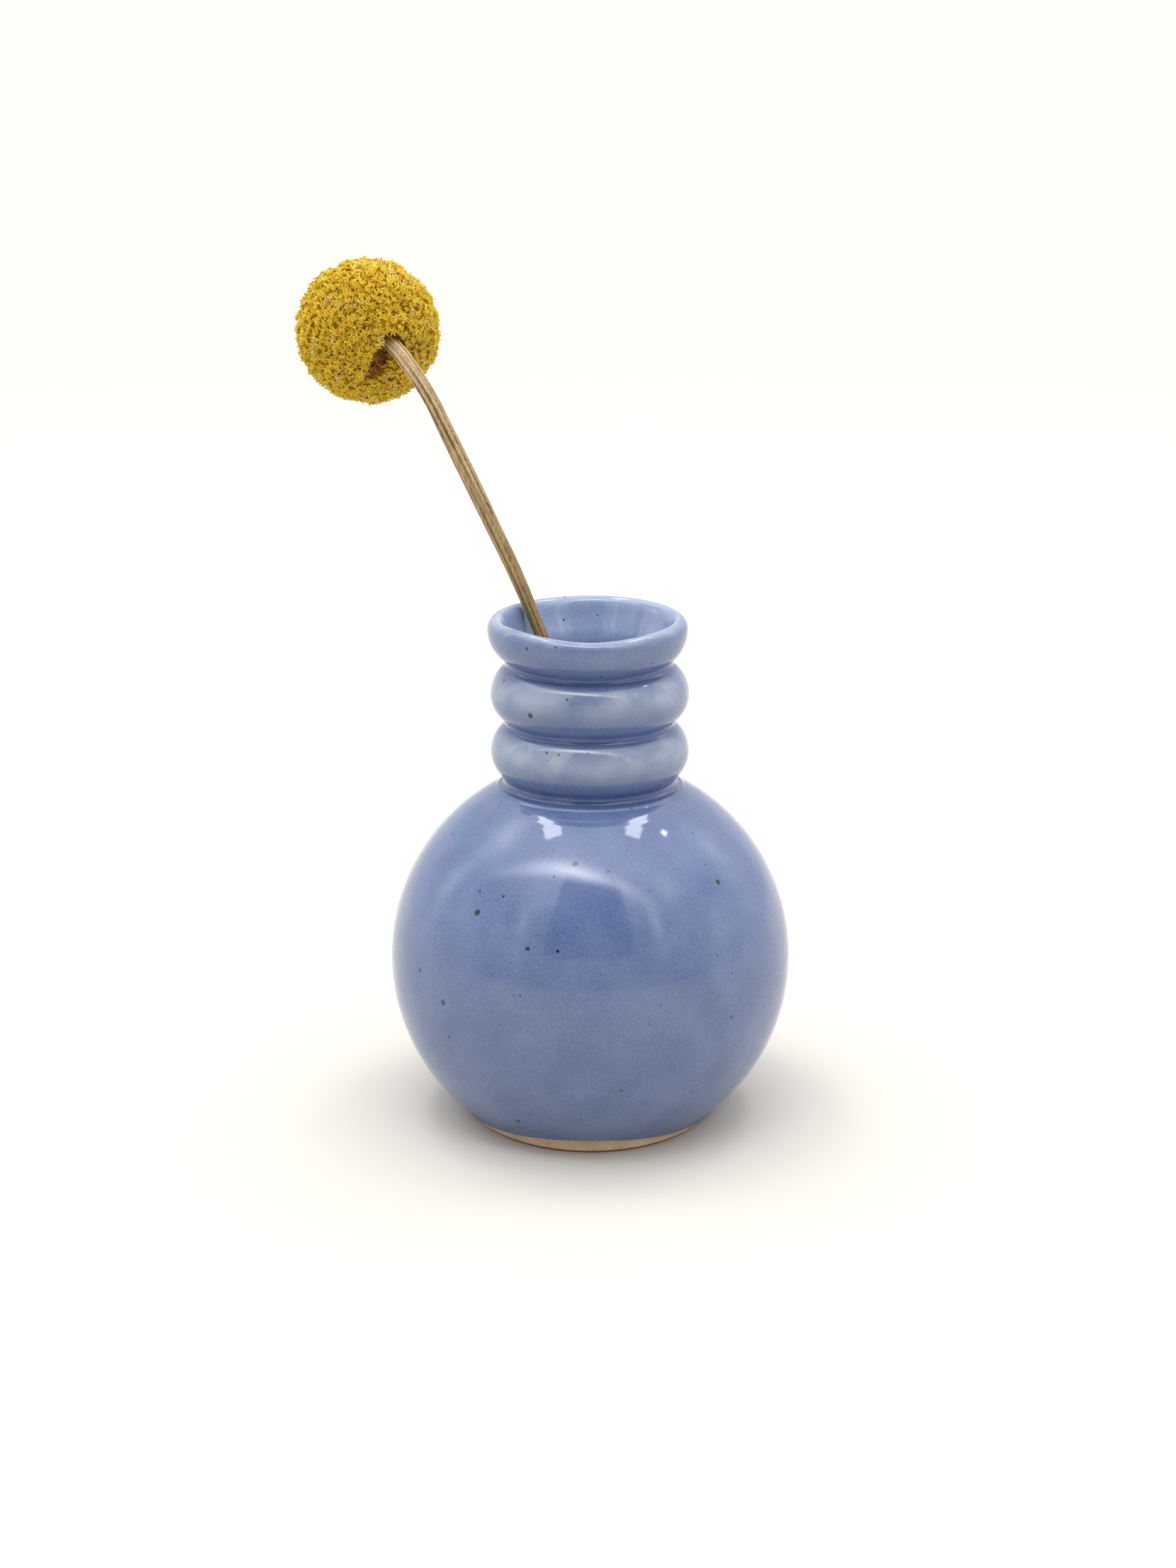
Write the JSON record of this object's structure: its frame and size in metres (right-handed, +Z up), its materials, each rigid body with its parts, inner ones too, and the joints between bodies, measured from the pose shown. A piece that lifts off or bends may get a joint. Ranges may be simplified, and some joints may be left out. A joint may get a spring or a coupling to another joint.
{
  "type": "ceramic bud vase",
  "caption": "Small round stoneware vase with a ringed neck, glazed inside and out, holding one dried ball-headed flower on a leaning stem.",
  "frame": {"origin": "middle of the vase's flat foot, on the surface that it stands on", "axes": "+Z up the vase's turning axis, -Y towards the front; the stem leans towards -X and +Y"},
  "size_m": [0.1046, 0.097, 0.1748],
  "materials": {
    "bare_stoneware": "matte",
    "blue_glaze": "gloss",
    "dried_stem": "matte",
    "dried_bract": "matte",
    "dried_florets": "matte"
  },
  "bodies": {
    "vase": {"globe": "bare_stoneware", "neck": "bare_stoneware", "glaze_outside": "blue_glaze", "glaze_liner": "blue_glaze"},
    "flower": {"stem": "dried_stem", "leaf_stub": "dried_bract", "receptacle": "dried_bract", "bracts": "dried_bract", "floret_ball": "dried_florets"}
  },
  "joints": [
    {"name": "stem_lift", "type": "slide", "parent": "vase", "child": "flower", "axis": [-0.382, 0.255, 0.8883], "range_m": [0, 0.112]}
  ]
}
